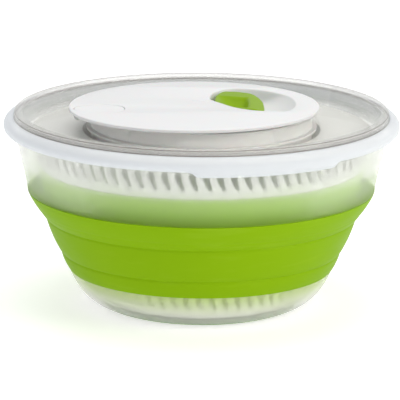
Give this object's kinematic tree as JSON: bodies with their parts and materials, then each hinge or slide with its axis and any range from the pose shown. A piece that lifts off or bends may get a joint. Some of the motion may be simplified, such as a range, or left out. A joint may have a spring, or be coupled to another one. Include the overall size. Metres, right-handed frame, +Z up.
{
  "type": "salad spinner",
  "caption": "Folding salad spinner: frosted bowl and slotted basket with silicone fold bands, clear lid, pull-cord drive and brake.",
  "frame": {"origin": "on the table, under the centre of the bowl's foot", "axes": "+Z up along the spin axis; +X to the right as seen from the front, with the pull handle right of centre and the brake tongue at -X; +Y away from the viewer"},
  "size_m": [0.27, 0.27, 0.1378],
  "materials": {
    "frosted_plastic": "frosted translucent, satin",
    "clear_plastic": "clear, polished, slightly smoky",
    "white_plastic": "fine satin gloss",
    "green_silicone": "smooth silicone, soft sheen",
    "green_plastic": "moulded, satin gloss",
    "steel": "plain steel",
    "cord": "braided polyester cord"
  },
  "bodies": {
    "bowl_base": {"bowl_base": "frosted_plastic", "bowl_foot_ring": "green_silicone", "pivot_pin": "white_plastic", "bowl_band": "green_silicone"},
    "bowl_rim": {"bowl_upper_ring": "frosted_plastic"},
    "basket_pivot": {"basket_bush": "white_plastic"},
    "basket_lower": {"basket_base": "white_plastic", "basket_band": "green_silicone"},
    "basket_upper": {"basket_upper_ring": "white_plastic"},
    "lid": {"lid_shell": "clear_plastic", "housing_base": "white_plastic", "top_cover": "white_plastic", "cover_screws": "steel", "shaft_bush": "white_plastic", "thrust_washer": "steel", "cord_guide": "white_plastic", "recoil_spring": "steel", "cord_lead": "cord", "brake_spring": "steel"},
    "carrier": {"carrier_disc": "frosted_plastic", "carrier_hub": "white_plastic", "drive_shaft": "steel", "hub_screw": "steel", "shaft_clip": "steel"},
    "spool": {"cord_spool": "white_plastic", "cord_winding": "cord", "clutch_spring": "steel"},
    "handle": {"pull_handle": "green_plastic", "cord_knot": "cord"},
    "brake_lever": {"brake_button": "white_plastic"},
    "brake_plunger": {"brake_plunger": "white_plastic", "brake_pad": "green_silicone"}
  },
  "joints": [
    {"name": "bowl_fold", "type": "slide", "parent": "bowl_base", "child": "bowl_rim", "axis": [0, 0, -1], "range_m": [0, 0.048], "deforming": ["bowl_band"]},
    {"name": "lid_lift", "type": "slide", "parent": "bowl_rim", "child": "lid", "axis": [0, 0, 1], "range_m": [0, 0.3]},
    {"name": "carrier_spin", "type": "hinge", "parent": "lid", "child": "carrier", "pos_m": [0, 0, 0.12], "axis": [0, 0, 1], "continuous": true},
    {"name": "spool_spin", "type": "hinge", "parent": "lid", "child": "spool", "pos_m": [0, 0, 0.12], "axis": [0, 0, -1], "range_deg": [0, 1640]},
    {"name": "handle_pull", "type": "slide", "parent": "lid", "child": "handle", "axis": [0.8138, -0.2962, 0.5], "range_m": [0, 0.6], "stiffness_N_per_m": 6, "springref_m": -0.4, "deforming": ["cord_lead"]},
    {"name": "brake_press", "type": "hinge", "parent": "lid", "child": "brake_lever", "pos_m": [-0.084, -0.015, 0.1339], "axis": [0, 1, 0], "range_deg": [0, 5], "stiffness_Nm_per_rad": 1.5, "springref_deg": -1.72},
    {"name": "brake_slide", "type": "slide", "parent": "lid", "child": "brake_plunger", "axis": [0, 0, -1], "range_m": [0, 0.0021], "stiffness_N_per_m": 60, "springref_m": -0.0005, "deforming": ["brake_spring"]},
    {"name": "basket_spin", "type": "hinge", "parent": "bowl_base", "child": "basket_pivot", "pos_m": [0, 0, 0.012], "axis": [0, 0, 1], "continuous": true},
    {"name": "basket_lift", "type": "slide", "parent": "basket_pivot", "child": "basket_lower", "axis": [0, 0, 1], "range_m": [0, 0.135]},
    {"name": "basket_fold", "type": "slide", "parent": "basket_lower", "child": "basket_upper", "axis": [0, 0, -1], "range_m": [0, 0.048], "deforming": ["basket_band"]}
  ],
  "couplings": [
    {"joint": "basket_fold", "follows": "bowl_fold", "ratio": 1},
    {"joint": "basket_lift", "follows": "lid_lift", "ratio": 0.45},
    {"joint": "basket_spin", "follows": "carrier_spin", "ratio": 1},
    {"joint": "spool_spin", "follows": "handle_pull", "rad_per_m": 46.5},
    {"joint": "brake_slide", "follows": "brake_press", "m_per_rad": 0.024}
  ]
}
